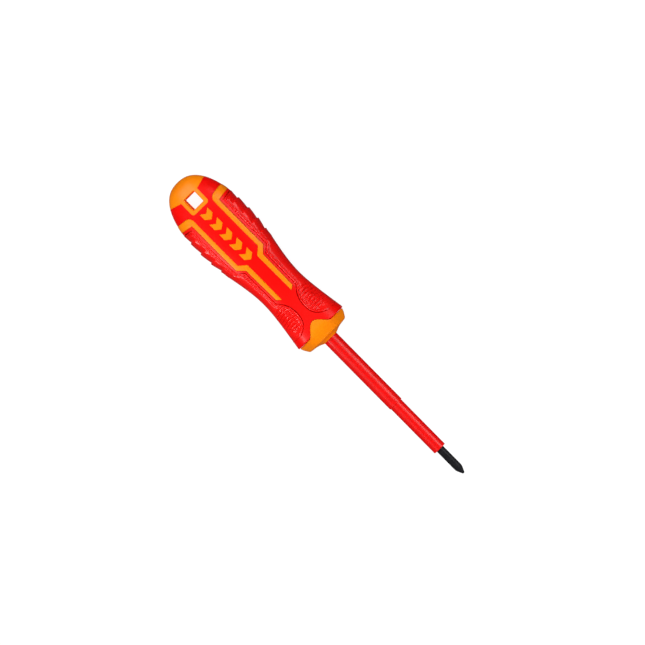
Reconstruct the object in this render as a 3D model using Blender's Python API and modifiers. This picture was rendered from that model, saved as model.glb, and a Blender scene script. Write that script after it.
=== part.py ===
"""An insulated screwdriver with a cross tip, lying on its back along X with the tip at +X.

The handle is a stack of mouldings round a steel blade: an orange core, a red body over it, orange inlays
that stand on the core in windows through the body, and soft grips let into the body's sides. The origin is
at the middle of the tool's footprint, on the surface that it lies on. Dimensions are in millimetres, and
distances along the tool are measured from its butt end.
"""

import math

import bmesh
import bpy
from mathutils import Matrix

MM = 0.001

# Along the tool, from the butt end
OVERALL = 215.0
NOSE_END = 115.0  # the collar's nose, where the blade's 100 mm of projection starts
INSULATION_END = OVERALL - 18.0  # 18 mm is the most bare tip that the live-working standard allows
SLEEVE_STEP = 164.0
BULGE_AT = 36.0
WAIST_AT = 78.5
BODY_END = 107.8

# Handle section: half-sizes at the bulge and the waist, and what the front flare adds
BULGE_WIDTH, BULGE_HEIGHT = 17.9, 15.5
WAIST_WIDTH, WAIST_HEIGHT = 12.7, 11.8
FLARE_SLOPE = 0.163
FLARE_EASE = 1.57
HEIGHT_FLARE = 1.14  # the flare rises this much faster in height, so bulge and flare lie on one plane
SECTION_POWER = 2.8
COLLAR_POWER = 7.0  # the collar's section is a hexagon with crowned faces, and a lower power rounds it more
DOME_POWER = 2.4
DOME_FLAT = 0.02
FRONT_EDGE_LENGTH, FRONT_EDGE_DROP = 0.9, 0.6

# Walls and fits
WALL = 3.0
GRIP_DEPTH = 1.8
MARK_DEPTH = 1.5
GAP = 0.3

# Round parts
BLADE_RADIUS = 2.25
INNER_SLEEVE_RADIUS = 3.75
OUTER_SLEEVE_RADIUS = 4.2
SLEEVE_FIT = 0.1
TANG_END = 40.0
INNER_SLEEVE_START = 95.0
OUTER_SLEEVE_START = 100.4

CORE_START = 12.4
CORE_END = 99.8
CUT_BEYOND = 24.0  # how far a cutter runs past the handle's axis, clear of its surface
AXIS_HEIGHT = BULGE_HEIGHT

OUTER_SIDES = 40
INNER_SIDES = 28
ROUND_STEPS = 32

ORANGE = (1.0, 0.27, 0.004, 1.0)
RED = (0.9, 0.008, 0.006, 1.0)
SOFT_RED = (0.8, 0.016, 0.016, 1.0)
BLACK_STEEL = (0.02, 0.02, 0.022, 1.0)


# ---------------------------------------------------------------- scene

def clear_scene():
    for obj in list(bpy.data.objects):
        bpy.data.objects.remove(obj)


def make_collection(name):
    collection = bpy.data.collections.new(name)
    bpy.context.scene.collection.children.link(collection)
    return collection


def make_material(name, colour, roughness, metallic=0.0):
    material = bpy.data.materials.new(name)
    material.use_nodes = True
    shader = material.node_tree.nodes["Principled BSDF"]
    shader.inputs["Base Color"].default_value = colour
    shader.inputs["Roughness"].default_value = roughness
    shader.inputs["Metallic"].default_value = metallic
    return material


def place(obj, collection, material=None):
    """Puts a new object in its collection, with the tool's middle on the origin and its back on z = 0."""
    collection.objects.link(obj)
    obj.matrix_world = Matrix.Translation((-OVERALL / 2 * MM, 0, AXIS_HEIGHT * MM)) @ obj.matrix_world
    if material:
        obj.data.materials.append(material)
    else:
        obj.hide_render = True
        obj.display_type = "WIRE"
    return obj


# ---------------------------------------------------------------- handle surface

def handle_profile(along, bulge, waist, flare):
    """Half-size of the handle at a distance along it: a domed butt, a cosine to the waist, then a flare."""
    if along < BULGE_AT:
        rest = 1 - max(along, DOME_FLAT) / BULGE_AT
        return bulge * (1 - rest**DOME_POWER) ** (1 / DOME_POWER)
    if along < WAIST_AT:
        turn = math.pi * (along - BULGE_AT) / (WAIST_AT - BULGE_AT)
        return (bulge + waist) / 2 + (bulge - waist) / 2 * math.cos(turn)
    rise = math.hypot(FLARE_EASE, FLARE_SLOPE * (along - WAIST_AT)) - FLARE_EASE
    return waist + flare * rise


def handle_size(along):
    """(half-width, half-height) of the handle's outer surface."""
    return (
        handle_profile(along, BULGE_WIDTH, WAIST_WIDTH, 1.0),
        handle_profile(along, BULGE_HEIGHT, WAIST_HEIGHT, HEIGHT_FLARE),
    )


def front_edge_drop(along):
    """How far the rounded front edge of the body falls below the flare."""
    share = max(0.0, along - BODY_END + FRONT_EDGE_LENGTH) / FRONT_EDGE_LENGTH
    return FRONT_EDGE_DROP * (1 - math.sqrt(max(0.0, 1 - share * share)))


def between(start, end, count):
    return [start + (end - start) * i / count for i in range(count + 1)]


def handle_stations():
    dome = [BULGE_AT * (1 - math.cos(math.pi / 2 * i / 9)) for i in range(9)]
    return (
        dome
        + between(BULGE_AT, WAIST_AT, 8)[:-1]
        + between(WAIST_AT, BODY_END - FRONT_EDGE_LENGTH, 5)
        + between(BODY_END - FRONT_EDGE_LENGTH, BODY_END, 3)[1:]
    )


def oval_section(sides):
    """The handle's rounded section as (y, z), each from -1 to 1, with a flat facet on each of its four sides."""
    power = 2 / SECTION_POWER
    widest = math.cos(math.pi / sides) ** power
    points = []
    for i in range(sides):
        angle = 2 * math.pi * (i + 0.5) / sides
        y = math.copysign(abs(math.cos(angle)) ** power, math.cos(angle)) / widest
        z = math.copysign(abs(math.sin(angle)) ** power, math.sin(angle)) / widest
        points.append((y, z))
    return points


def hexagon_section(sides):
    """The collar's section: a crowned hexagon with one face up and a rounded corner at each side."""
    points = []
    for i in range(sides):
        angle = 2 * math.pi * (i + 0.5) / sides
        reach = 0.0
        for facing in (-math.pi / 6, math.pi / 6, math.pi / 2):
            reach += abs(math.cos(angle - facing)) ** COLLAR_POWER
        radius = reach ** (-1 / COLLAR_POWER)
        points.append((radius * math.cos(angle), radius * math.sin(angle)))
    widest = max(y for y, z in points)
    highest = max(z for y, z in points)
    return [(y / widest, z / highest) for y, z in points]


def loft(name, rings, section):
    """A closed solid through sections given as (distance along, half-width, half-height)."""
    sides = len(section)
    mesh = bmesh.new()
    loops = []
    for along, half_width, half_height in rings:
        loops.append([mesh.verts.new((along * MM, y * half_width * MM, z * half_height * MM)) for y, z in section])
    mesh.faces.new(loops[0][::-1])
    mesh.faces.new(loops[-1])
    for behind, ahead in zip(loops, loops[1:]):
        for i in range(sides):
            j = (i + 1) % sides
            mesh.faces.new((behind[i], behind[j], ahead[j], ahead[i]))
    bmesh.ops.recalc_face_normals(mesh, faces=mesh.faces)
    data = bpy.data.meshes.new(name)
    mesh.to_mesh(data)
    mesh.free()
    return bpy.data.objects.new(name, data)


def handle_skin(name):
    """The handle's whole outer surface, as a solid from the butt end to the body's front edge."""
    rings = []
    for along in handle_stations():
        half_width, half_height = handle_size(along)
        drop = front_edge_drop(along)
        rings.append((along, half_width - drop, half_height - drop))
    return loft(name, rings, oval_section(OUTER_SIDES))


def inset_loft(name, start, end, inset, sides=INNER_SIDES, count=10):
    """A solid that stays a given depth below the handle's surface."""
    rings = []
    for along in between(start, end, count):
        half_width, half_height = handle_size(along)
        rings.append((along, half_width - inset, half_height - inset))
    return loft(name, rings, oval_section(sides))


# ---------------------------------------------------------------- flat outlines

def mirrored(points):
    """The outline on the other side of the tool's axis, kept in the same turning direction."""
    return [(x, -y) for x, y in reversed(points)]


def grown(points, by):
    """The outline moved out by a distance, with mitred corners. Points run anticlockwise."""
    result = []
    for i, (x, y) in enumerate(points):
        x0, y0 = points[i - 1]
        x1, y1 = points[(i + 1) % len(points)]
        before = math.hypot(x - x0, y - y0)
        after = math.hypot(x1 - x, y1 - y)
        ax, ay = (y - y0) / before, (x0 - x) / before
        bx, by_ = (y1 - y) / after, (x - x1) / after
        scale = by / (1 + ax * bx + ay * by_)
        result.append((x + (ax + bx) * scale, y + (ay + by_) * scale))
    return result


def arc(centre_x, centre_y, radius, start, end, count):
    """Points on an arc, with angles in degrees."""
    points = []
    for angle in between(math.radians(start), math.radians(end), count):
        points.append((centre_x + radius * math.cos(angle), centre_y + radius * math.sin(angle)))
    return points


def prism(name, outline, low=-CUT_BEYOND, high=CUT_BEYOND):
    """A flat outline in plan, extruded between two heights above the axis, as a mesh."""
    curve = bpy.data.curves.new(name, "CURVE")
    curve.dimensions = "2D"
    curve.fill_mode = "BOTH"
    curve.extrude = (high - low) / 2 * MM
    spline = curve.splines.new("POLY")
    spline.points.add(len(outline) - 1)
    for point, (x, y) in zip(spline.points, outline):
        point.co = (x * MM, y * MM, 0, 1)
    spline.use_cyclic_u = True
    flat = bpy.data.objects.new(name, curve)
    bpy.context.scene.collection.objects.link(flat)
    flat.location.z = (high + low) / 2 * MM
    bpy.context.view_layer.update()
    data = bpy.data.meshes.new_from_object(flat.evaluated_get(bpy.context.evaluated_depsgraph_get()))
    data.transform(flat.matrix_world)
    bpy.data.objects.remove(flat)
    mesh = bmesh.new()
    mesh.from_mesh(data)
    bmesh.ops.remove_doubles(mesh, verts=mesh.verts, dist=0.00001)
    bmesh.ops.recalc_face_normals(mesh, faces=mesh.faces)
    mesh.to_mesh(data)
    mesh.free()
    return bpy.data.objects.new(name, data)


HOLE_START, HOLE_END, HOLE_HALF = 9.5, 16.9, 3.7
FRAME_END, FRAME_HALF, FRAME_CORNER = 19.0, 5.85, 1.6
CAP_SLANT_X, CAP_SLANT_Y = -4.9, 16.2  # the cap's edge runs back as it nears the handle's sides


def cap_outline():
    """The butt cap in plan: the end of the handle and the frame round the hanging hole."""
    edge = HOLE_START + 0.2
    corner = FRAME_END - FRAME_CORNER
    return (
        [(-2, -FRAME_HALF - CAP_SLANT_Y), (edge + CAP_SLANT_X, -FRAME_HALF - CAP_SLANT_Y), (edge, -FRAME_HALF)]
        + arc(corner, FRAME_CORNER - FRAME_HALF, FRAME_CORNER, -90, 0, 4)
        + arc(corner, FRAME_HALF - FRAME_CORNER, FRAME_CORNER, 0, 90, 4)
        + [(edge, FRAME_HALF), (edge + CAP_SLANT_X, FRAME_HALF + CAP_SLANT_Y), (-2, FRAME_HALF + CAP_SLANT_Y)]
    )


def hole_outline():
    return [
        (HOLE_START, -HOLE_HALF),
        (HOLE_END, -HOLE_HALF),
        (HOLE_END, HOLE_HALF),
        (HOLE_START, HOLE_HALF),
    ]


def stripe_outline():
    """The left stripe in plan: out of the side, round a corner, along the face, in at a jog and on to its end."""
    return (
        [(20.1, 21.0), (16.0, 21.0), (17.5, 11.2)]
        + arc(21.0, 11.0, 3.5, 195, 270, 5)
        + [(53.8, 7.5), (57.2, 3.55), (82.6, 3.65), (81.0, 5.95), (58.8, 6.25), (55.1, 10.0), (22.1, 10.0)]
    )


def grip_outline():
    """The left grip in plan. Its edge keeps beside the stripe, then swings in round the thumb scoop."""
    scoop = [(84.6, 5.4), (87.6, 3.7), (91.2, 2.8), (95.0, 2.7), (98.8, 3.8), (101.6, 6.4), (103.2, 10.0)]
    return (
        [(21.6, 24.0), (22.3, 17.0), (23.6, 11.7), (56.0, 11.7), (59.6, 7.75), (82.2, 7.55)]
        + scoop
        + [(103.6, 24.0)]
    )


TONGUE_HALF, TONGUE_DEPTH = 7.6, 5.8


def tongue_outline(front):
    """The collar's tongue in plan: a bell that reaches back over the handle's face."""
    bell = []
    for share in between(-1, 1, 10):
        depth = TONGUE_DEPTH * (0.5 + 0.5 * math.cos(math.pi * share)) ** 0.75
        bell.append((BODY_END - depth, -TONGUE_HALF * share))
    return bell + [(front, -TONGUE_HALF), (front, TONGUE_HALF)]


MARK_COUNT = 5
MARKS_START, MARKS_END = 20.6, 56.4
MARK_ARM, MARK_POINT, MARK_HALF = 4.1, 2.2, 2.85


def mark_outline(index):
    """One chevron of the row on the handle's face."""
    pitch = (MARKS_END - MARKS_START - MARK_ARM - MARK_POINT) / (MARK_COUNT - 1)
    x = MARKS_START + index * pitch
    return [
        (x, -MARK_HALF),
        (x + MARK_ARM, -MARK_HALF),
        (x + MARK_ARM + MARK_POINT, 0),
        (x + MARK_ARM, MARK_HALF),
        (x, MARK_HALF),
        (x + MARK_POINT, 0),
    ]


# ---------------------------------------------------------------- joining and turning

def boolean(obj, other, operation="DIFFERENCE"):
    modifier = obj.modifiers.new(f"{operation.lower()}_{other.name}", "BOOLEAN")
    modifier.operation = operation
    modifier.object = other
    return obj


def turned(name, profile, merge=False):
    """A turned part from (radius, distance along) points, which run down its outer side from the front."""
    data = bpy.data.meshes.new(name)
    points = [(radius * MM, 0, along * MM) for radius, along in profile]
    edges = [(i, i + 1) for i in range(len(points) - 1)]
    if not merge:
        edges.append((len(points) - 1, 0))
    data.from_pydata(points, edges, [])
    obj = bpy.data.objects.new(name, data)
    screw = obj.modifiers.new("turn", "SCREW")
    screw.steps = screw.render_steps = ROUND_STEPS
    screw.use_merge_vertices = merge
    screw.merge_threshold = 0.00001
    obj.matrix_world = Matrix.Rotation(math.pi / 2, 4, "Y")
    return obj


def tube(name, inner, outer, start, end, chamfer=0.0):
    profile = [(inner, end), (outer - chamfer, end)]
    if chamfer:
        profile.append((outer, end - chamfer))
    return turned(name, profile + [(outer, start), (inner, start)])


def box(name, start, end, half_width, half_height):
    data = bpy.data.meshes.new(name)
    mesh = bmesh.new()
    size = Matrix.Diagonal(((end - start) * MM, 2 * half_width * MM, 2 * half_height * MM, 1))
    bmesh.ops.create_cube(mesh, size=1, matrix=Matrix.Translation(((start + end) / 2 * MM, 0, 0)) @ size)
    mesh.to_mesh(data)
    mesh.free()
    return bpy.data.objects.new(name, data)


# ---------------------------------------------------------------- blade and insulation

WINGS = ((48.0, 55.0), (66.0, 73.0))  # where the tang is pressed flat, so that it can't turn in the core
WING_HALF_WIDTH, WING_HALF_HEIGHT = 3.3, 0.9
TIP_FLAT_RADIUS = 0.8
TIP_CONE_LENGTH = 3.9
FLUTE_LENGTH, FLUTE_ROOT = 8.0, 0.62


def flute_cutter(name, quarter):
    """A square bar laid on edge, whose edge cuts one flute: deep at the tip and running out behind it."""
    side = 3.2
    rise = math.atan2(BLADE_RADIUS + 0.1 - FLUTE_ROOT, FLUTE_LENGTH)
    data = bpy.data.meshes.new(name)
    mesh = bmesh.new()
    bmesh.ops.create_cube(mesh, size=1, matrix=Matrix.Diagonal((4 * FLUTE_LENGTH * MM, side * MM, side * MM, 1)))
    lift = Matrix.Translation((OVERALL * MM, 0, FLUTE_ROOT * MM))
    edge_down = Matrix.Translation((0, 0, side / math.sqrt(2) * MM)) @ Matrix.Rotation(math.pi / 4, 4, "X")
    tilt = Matrix.Rotation(rise, 4, "Y")
    turn = Matrix.Rotation(math.pi / 4 + quarter * math.pi / 2, 4, "X")
    mesh.transform(turn @ lift @ tilt @ edge_down)
    mesh.to_mesh(data)
    mesh.free()
    return bpy.data.objects.new(name, data)


def make_blade(parts, cutters, material):
    profile = [
        (0, OVERALL),
        (TIP_FLAT_RADIUS, OVERALL),
        (BLADE_RADIUS - 0.2, OVERALL - TIP_CONE_LENGTH + 0.9),
        (BLADE_RADIUS, OVERALL - TIP_CONE_LENGTH),
        (BLADE_RADIUS, TANG_END + 0.6),
        (BLADE_RADIUS - 0.6, TANG_END),
        (0, TANG_END),
    ]
    blade = place(turned("blade", profile, merge=True), parts, material)
    for i, (start, end) in enumerate(WINGS):
        wing = place(box(f"wing_{i}", start, end, WING_HALF_WIDTH, WING_HALF_HEIGHT), cutters)
        boolean(blade, wing, "UNION")
    for quarter in range(4):
        boolean(blade, place(flute_cutter(f"flute_{quarter}", quarter), cutters))
    return blade


def make_sleeves(parts, material):
    inner = BLADE_RADIUS + SLEEVE_FIT
    place(tube("inner_sleeve", inner, INNER_SLEEVE_RADIUS, INNER_SLEEVE_START, INSULATION_END, 0.25),
          parts, material)
    inner = INNER_SLEEVE_RADIUS + SLEEVE_FIT
    place(tube("outer_sleeve", inner, OUTER_SLEEVE_RADIUS, OUTER_SLEEVE_START, SLEEVE_STEP, 0.2),
          parts, material)


# ---------------------------------------------------------------- handle mouldings

def make_core(parts, cutters, material):
    """The hard core: moulded on the tang, with a seat for the inner sleeve and a fork round the cap's frame."""
    core = place(inset_loft("handle_core", CORE_START, CORE_END, WALL + GAP), parts, material)
    boolean(core, place(prism("core_fork", grown(cap_outline(), GAP)), cutters))
    bore = [
        (0, CORE_END + 1),
        (INNER_SLEEVE_RADIUS + SLEEVE_FIT, CORE_END + 1),
        (INNER_SLEEVE_RADIUS + SLEEVE_FIT, INNER_SLEEVE_START - GAP),
        (BLADE_RADIUS + SLEEVE_FIT, INNER_SLEEVE_START - GAP),
        (BLADE_RADIUS + SLEEVE_FIT, TANG_END - GAP),
        (0, TANG_END - GAP),
    ]
    boolean(core, place(turned("core_bore", bore, merge=True), cutters))
    for i, (start, end) in enumerate(WINGS):
        slot = box(f"wing_slot_{i}", start - GAP, end + GAP, WING_HALF_WIDTH + GAP, WING_HALF_HEIGHT + GAP)
        boolean(core, place(slot, cutters))
    return core


def make_butt_cap(parts, cutters, material):
    cap = place(handle_skin("butt_cap"), parts, material)
    boolean(cap, place(prism("cap_plan", cap_outline()), cutters), "INTERSECT")
    boolean(cap, place(prism("hanging_hole", hole_outline()), cutters))
    return cap


FLANGE_START = BODY_END + GAP
COLLAR_START = CORE_END + GAP
COLLAR_RINGS = (  # distance along, half-width; the height keeps the flare's ratio
    (FLANGE_START, 15.3),
    (110.0, 14.65),
    (111.6, 13.7),
    (112.5, 13.05),
    (112.9, 12.3),
    (113.15, 10.9),
    (113.5, 8.5),
    (114.2, 6.1),
    (NOSE_END, 4.9),
)
TONGUE_PROUD = 0.1
TONGUE_RINGS = ((108.0, 0.95), (109.4, 1.75), (110.6, 2.9), (111.4, 4.2))  # distance along, fall below the flare


def make_collar(parts, cutters, material):
    """The front collar: a spigot inside the body, a flange and nose in front of it, and two tongues."""
    spigot = []
    for along in (COLLAR_START, FLANGE_START):
        half_width, half_height = handle_size(along)
        spigot.append((along, half_width - WALL - GAP, half_height - WALL - GAP))
    width_at_front, height_at_front = handle_size(BODY_END)
    ratio = height_at_front / width_at_front
    flange = [(along, half_width, half_width * ratio) for along, half_width in COLLAR_RINGS]
    collar = place(loft("front_collar", spigot + flange, hexagon_section(OUTER_SIDES)), parts, material)

    rings = []
    for along in between(COLLAR_START + 0.6, BODY_END - 2, 3):
        half_width, half_height = handle_size(along)
        rings.append((along, half_width + TONGUE_PROUD, half_height + TONGUE_PROUD))
    for along, fall in TONGUE_RINGS:
        half_width, half_height = handle_size(along)
        rings.append((along, half_width - fall, half_height - fall))
    tongue = place(loft("tongue_skin", rings, oval_section(OUTER_SIDES)), cutters)
    boolean(tongue, place(prism("tongue_plan", tongue_outline(111.2)), cutters), "INTERSECT")
    boolean(collar, tongue, "UNION")

    bore = turned("collar_bore", [
        (0, NOSE_END + 1),
        (OUTER_SLEEVE_RADIUS + SLEEVE_FIT, NOSE_END + 1),
        (OUTER_SLEEVE_RADIUS + SLEEVE_FIT, COLLAR_START - 1),
        (0, COLLAR_START - 1),
    ], merge=True)
    return boolean(collar, place(bore, cutters))


def make_inlays(parts, cutters, orange, soft_red):
    """The stripes, which stand on the core, and the grips, which fill pockets in the body."""
    stripe_floor = place(inset_loft("stripe_floor", 2, 106, WALL), cutters)
    grip_floor = place(inset_loft("grip_floor", 2, 106, GRIP_DEPTH, OUTER_SIDES, 20), cutters)
    sides = (("left", stripe_outline(), grip_outline()),
             ("right", mirrored(stripe_outline()), mirrored(grip_outline())))
    for side, stripe_plan, grip_plan in sides:
        stripe = place(handle_skin(f"{side}_stripe"), parts, orange)
        boolean(stripe, place(prism(f"{side}_stripe_plan", stripe_plan), cutters), "INTERSECT")
        boolean(stripe, stripe_floor)
        grip = place(handle_skin(f"{side}_grip"), parts, soft_red)
        boolean(grip, place(prism(f"{side}_grip_plan", grip_plan), cutters), "INTERSECT")
        boolean(grip, grip_floor)


def mark_heights(index):
    """(floor, top) of a mark above the axis: its floor is a set depth below the face at its middle."""
    outline = mark_outline(index)
    middle = (outline[0][0] + outline[2][0]) / 2
    return handle_size(middle)[1] - MARK_DEPTH, CUT_BEYOND


def make_marks(parts, cutters, material):
    for face, side in (("front", 1), ("back", -1)):
        for index in range(MARK_COUNT):
            low, high = sorted(side * height for height in mark_heights(index))
            name = f"{face}_mark_{index + 1}"
            mark = place(handle_skin(name), parts, material)
            boolean(mark, place(prism(f"{name}_plan", mark_outline(index), low, high), cutters), "INTERSECT")


def make_body(parts, cutters, material):
    """The red shell, with windows for the stripes, pockets for the grips and marks, and open ends."""
    body = place(handle_skin("handle_body"), parts, material)
    boolean(body, place(inset_loft("body_cavity", CORE_START - GAP, BODY_END + 4, WALL), cutters))
    boolean(body, place(prism("cap_window", grown(cap_outline(), GAP)), cutters))
    boolean(body, place(prism("tongue_window", grown(tongue_outline(BODY_END + 4), GAP)), cutters))
    pocket_floor = place(inset_loft("pocket_floor", 2, 106, GRIP_DEPTH + GAP, OUTER_SIDES, 20), cutters)
    left_stripe = grown(stripe_outline(), GAP)
    left_grip = grown(grip_outline(), GAP)
    for side, stripe_plan, grip_plan in (("left", left_stripe, left_grip),
                                         ("right", mirrored(left_stripe), mirrored(left_grip))):
        boolean(body, place(prism(f"{side}_stripe_window", stripe_plan), cutters))
        pocket = place(prism(f"{side}_grip_pocket", grip_plan), cutters)
        boolean(body, boolean(pocket, pocket_floor))
    for face, side in (("front", 1), ("back", -1)):
        for index in range(MARK_COUNT):
            floor, top = mark_heights(index)
            low, high = sorted((side * (floor - GAP), side * top))
            window = prism(f"{face}_mark_{index + 1}_pocket", grown(mark_outline(index), GAP), low, high)
            boolean(body, place(window, cutters))
    return body


def main():
    clear_scene()
    parts = make_collection("insulated_screwdriver")
    cutters = make_collection("cutters")
    orange = make_material("orange_hard_plastic", ORANGE, 0.35)
    red = make_material("red_hard_plastic", RED, 0.32)
    soft_red = make_material("red_soft_rubber", SOFT_RED, 0.5)
    insulation = make_material("red_insulation", RED, 0.3)
    steel = make_material("blackened_steel", BLACK_STEEL, 0.38, 0.9)
    make_blade(parts, cutters, steel)
    make_sleeves(parts, insulation)
    make_core(parts, cutters, orange)
    make_butt_cap(parts, cutters, orange)
    make_collar(parts, cutters, orange)
    make_body(parts, cutters, red)
    make_inlays(parts, cutters, orange, soft_red)
    make_marks(parts, cutters, orange)


main()
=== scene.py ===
"""Looks for the insulated screwdriver: the handle's mouldings, the insulated blade, their materials and the
studio.

Distances along the tool are in millimetres from its butt end, and heights and widths are from its axis. An
angle goes round the axis: 0 at the left side and 90 degrees at the upper face.
"""

import math

import bmesh
import bpy
from mathutils import Matrix, Vector
from mathutils.kdtree import KDTree

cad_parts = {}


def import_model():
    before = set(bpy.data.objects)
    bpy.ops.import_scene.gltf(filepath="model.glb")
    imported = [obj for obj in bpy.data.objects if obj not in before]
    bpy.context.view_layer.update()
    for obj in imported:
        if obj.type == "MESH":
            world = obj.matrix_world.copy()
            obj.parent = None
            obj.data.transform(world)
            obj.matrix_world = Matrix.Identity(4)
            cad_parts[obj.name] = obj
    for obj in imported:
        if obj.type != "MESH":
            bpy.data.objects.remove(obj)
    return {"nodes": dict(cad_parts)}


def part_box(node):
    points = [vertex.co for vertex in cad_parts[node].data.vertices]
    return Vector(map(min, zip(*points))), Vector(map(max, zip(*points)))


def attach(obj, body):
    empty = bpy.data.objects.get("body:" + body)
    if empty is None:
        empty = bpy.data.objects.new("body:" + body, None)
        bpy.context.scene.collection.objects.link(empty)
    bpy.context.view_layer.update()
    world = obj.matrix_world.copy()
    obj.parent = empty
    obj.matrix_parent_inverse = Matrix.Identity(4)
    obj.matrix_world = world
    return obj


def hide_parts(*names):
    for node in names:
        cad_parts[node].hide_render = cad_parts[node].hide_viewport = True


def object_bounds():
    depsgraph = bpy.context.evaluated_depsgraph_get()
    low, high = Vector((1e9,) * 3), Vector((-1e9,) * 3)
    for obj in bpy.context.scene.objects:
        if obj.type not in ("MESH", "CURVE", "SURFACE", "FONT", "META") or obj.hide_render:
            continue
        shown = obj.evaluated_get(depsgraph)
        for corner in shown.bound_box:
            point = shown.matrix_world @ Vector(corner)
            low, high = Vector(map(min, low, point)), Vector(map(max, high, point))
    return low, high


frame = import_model()
CAD_LOW, CAD_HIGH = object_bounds()

MM = 0.001
sleeve_low, sleeve_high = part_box("inner_sleeve")
AXIS = Vector((CAD_LOW.x, 0, (sleeve_low.z + sleeve_high.z) / 2))

# Along the tool
OVERALL = (CAD_HIGH.x - CAD_LOW.x) / MM
INSULATION_END = (sleeve_high.x - CAD_LOW.x) / MM
SLEEVE_STEP = (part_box("outer_sleeve")[1].x - CAD_LOW.x) / MM
NOSE_END = (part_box("front_collar")[1].x - CAD_LOW.x) / MM
BODY_END = (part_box("handle_body")[1].x - CAD_LOW.x) / MM
BULGE_AT = 36.0
WAIST_AT = 78.5

# Handle section
BULGE_WIDTH = CAD_HIGH.y / MM
BULGE_HEIGHT = (AXIS.z - CAD_LOW.z) / MM
WAIST_WIDTH, WAIST_HEIGHT = 12.7, 11.8
FLARE_SLOPE = 0.163
FLARE_EASE = 1.57
HEIGHT_FLARE = 1.14
SECTION_POWER = 2.8
DOME_POWER = 2.4
DOME_FLAT = 0.02
FRONT_EDGE_LENGTH, FRONT_EDGE_DROP = 0.9, 0.6
COLLAR_POWER = 7.0

WALL = 3.0
SEAM = 0.07  # what shows between two mouldings
TONGUE_SEAM = 0.22
STRIPE_SEAM = 0.12
TIGHT_SEAM = 0.03  # round the sides, where a gap would be seen through
CUT_BEYOND = 24.0

# Round parts
BLADE_RADIUS = 2.25
INNER_SLEEVE_RADIUS = (sleeve_high.y - sleeve_low.y) / 2 / MM
OUTER_SLEEVE_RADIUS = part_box("outer_sleeve")[1].y / MM

HANDLE_SIDES = 128
ROUND_SIDES = 72


# ---------------------------------------------------------------- modelling with operators

def named(name):
    """The object that an operator has just added, under its own name."""
    piece = bpy.context.object
    piece.name = name
    piece.data.name = name
    return piece


def start_clean():
    """Leaves object mode with nothing selected, so that an operator acts on the new piece alone."""
    if bpy.context.object and bpy.context.object.mode != "OBJECT":
        bpy.ops.object.mode_set(mode="OBJECT")
    bpy.ops.object.select_all(action="DESELECT")


def make_active(piece):
    start_clean()
    piece.select_set(True)
    bpy.context.view_layer.objects.active = piece


def edit(piece, select_mode="VERT"):
    make_active(piece)
    bpy.ops.object.mode_set(mode="EDIT")
    bpy.ops.mesh.select_mode(type=select_mode)
    return bmesh.from_edit_mesh(piece.data)


def leave_edit():
    bpy.ops.object.mode_set(mode="OBJECT")


def apply_modifier(piece, kind, **settings):
    make_active(piece)
    modifier = piece.modifiers.new(kind.lower(), kind)
    for name, value in settings.items():
        setattr(modifier, name, value)
    bpy.ops.object.modifier_apply(modifier=modifier.name)
    return piece


def cut(piece, cutter, operation="DIFFERENCE"):
    """Cuts, keeps or joins, and clears the cutter away."""
    apply_modifier(piece, "BOOLEAN", operation=operation, object=cutter)
    bpy.data.objects.remove(cutter)
    return piece


def face_outwards(piece):
    edit(piece)
    bpy.ops.mesh.select_all(action="SELECT")
    bpy.ops.mesh.normals_make_consistent(inside=False)
    leave_edit()
    return piece


def smooth(piece, angle=32.0):
    make_active(piece)
    bpy.ops.object.shade_smooth_by_angle(angle=math.radians(angle))
    return piece


def world(along, y, z):
    return AXIS + Vector((along, y, z)) * MM


def duplicate(piece, name):
    make_active(piece)
    bpy.ops.object.duplicate()
    return named(name)


def mirror_copy(piece, name):
    """The same piece on the other side of the tool."""
    copy = duplicate(piece, name)
    edit(copy)
    bpy.ops.mesh.select_all(action="SELECT")
    bpy.ops.transform.resize(value=(1, -1, 1), center_override=(0, 0, 0))
    bpy.ops.mesh.flip_normals()
    leave_edit()
    return copy


def turn_over_copy(piece, name):
    """The same piece on the handle's other face: turned half round the tool's axis."""
    copy = duplicate(piece, name)
    half_turn = Matrix.Rotation(math.pi, 4, "X")
    copy.data.transform(Matrix.Translation(AXIS) @ half_turn @ Matrix.Translation(-AXIS))
    return copy


# ---------------------------------------------------------------- handle surface

def handle_profile(along, bulge, waist, flare):
    """Half-size of the handle at a distance along it: a domed butt, a cosine to the waist, then a flare."""
    if along < BULGE_AT:
        rest = 1 - max(along, DOME_FLAT) / BULGE_AT
        return bulge * (1 - rest**DOME_POWER) ** (1 / DOME_POWER)
    if along < WAIST_AT:
        turn = math.pi * (along - BULGE_AT) / (WAIST_AT - BULGE_AT)
        return (bulge + waist) / 2 + (bulge - waist) / 2 * math.cos(turn)
    rise = math.hypot(FLARE_EASE, FLARE_SLOPE * (along - WAIST_AT)) - FLARE_EASE
    return waist + flare * rise


def handle_size(along):
    """(half-width, half-height) of the handle's outer surface."""
    half_width = handle_profile(along, BULGE_WIDTH, WAIST_WIDTH, 1.0)
    half_height = handle_profile(along, BULGE_HEIGHT, WAIST_HEIGHT, HEIGHT_FLARE)
    share = min(1.0, max(0.0, along - BODY_END + FRONT_EDGE_LENGTH) / FRONT_EDGE_LENGTH)
    drop = FRONT_EDGE_DROP * (1 - math.sqrt(1 - share * share))
    return half_width - drop, half_height - drop


def handle_radius(angle, half_width, half_height):
    """Distance from the axis to the rounded section, in a direction round the axis."""
    across = abs(math.cos(angle)) / half_width
    up = abs(math.sin(angle)) / half_height
    return (across**SECTION_POWER + up**SECTION_POWER) ** (-1 / SECTION_POWER)


def on_handle(along, angle):
    radius = handle_radius(angle, *handle_size(along))
    return Vector((along, radius * math.cos(angle), radius * math.sin(angle)))


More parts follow.
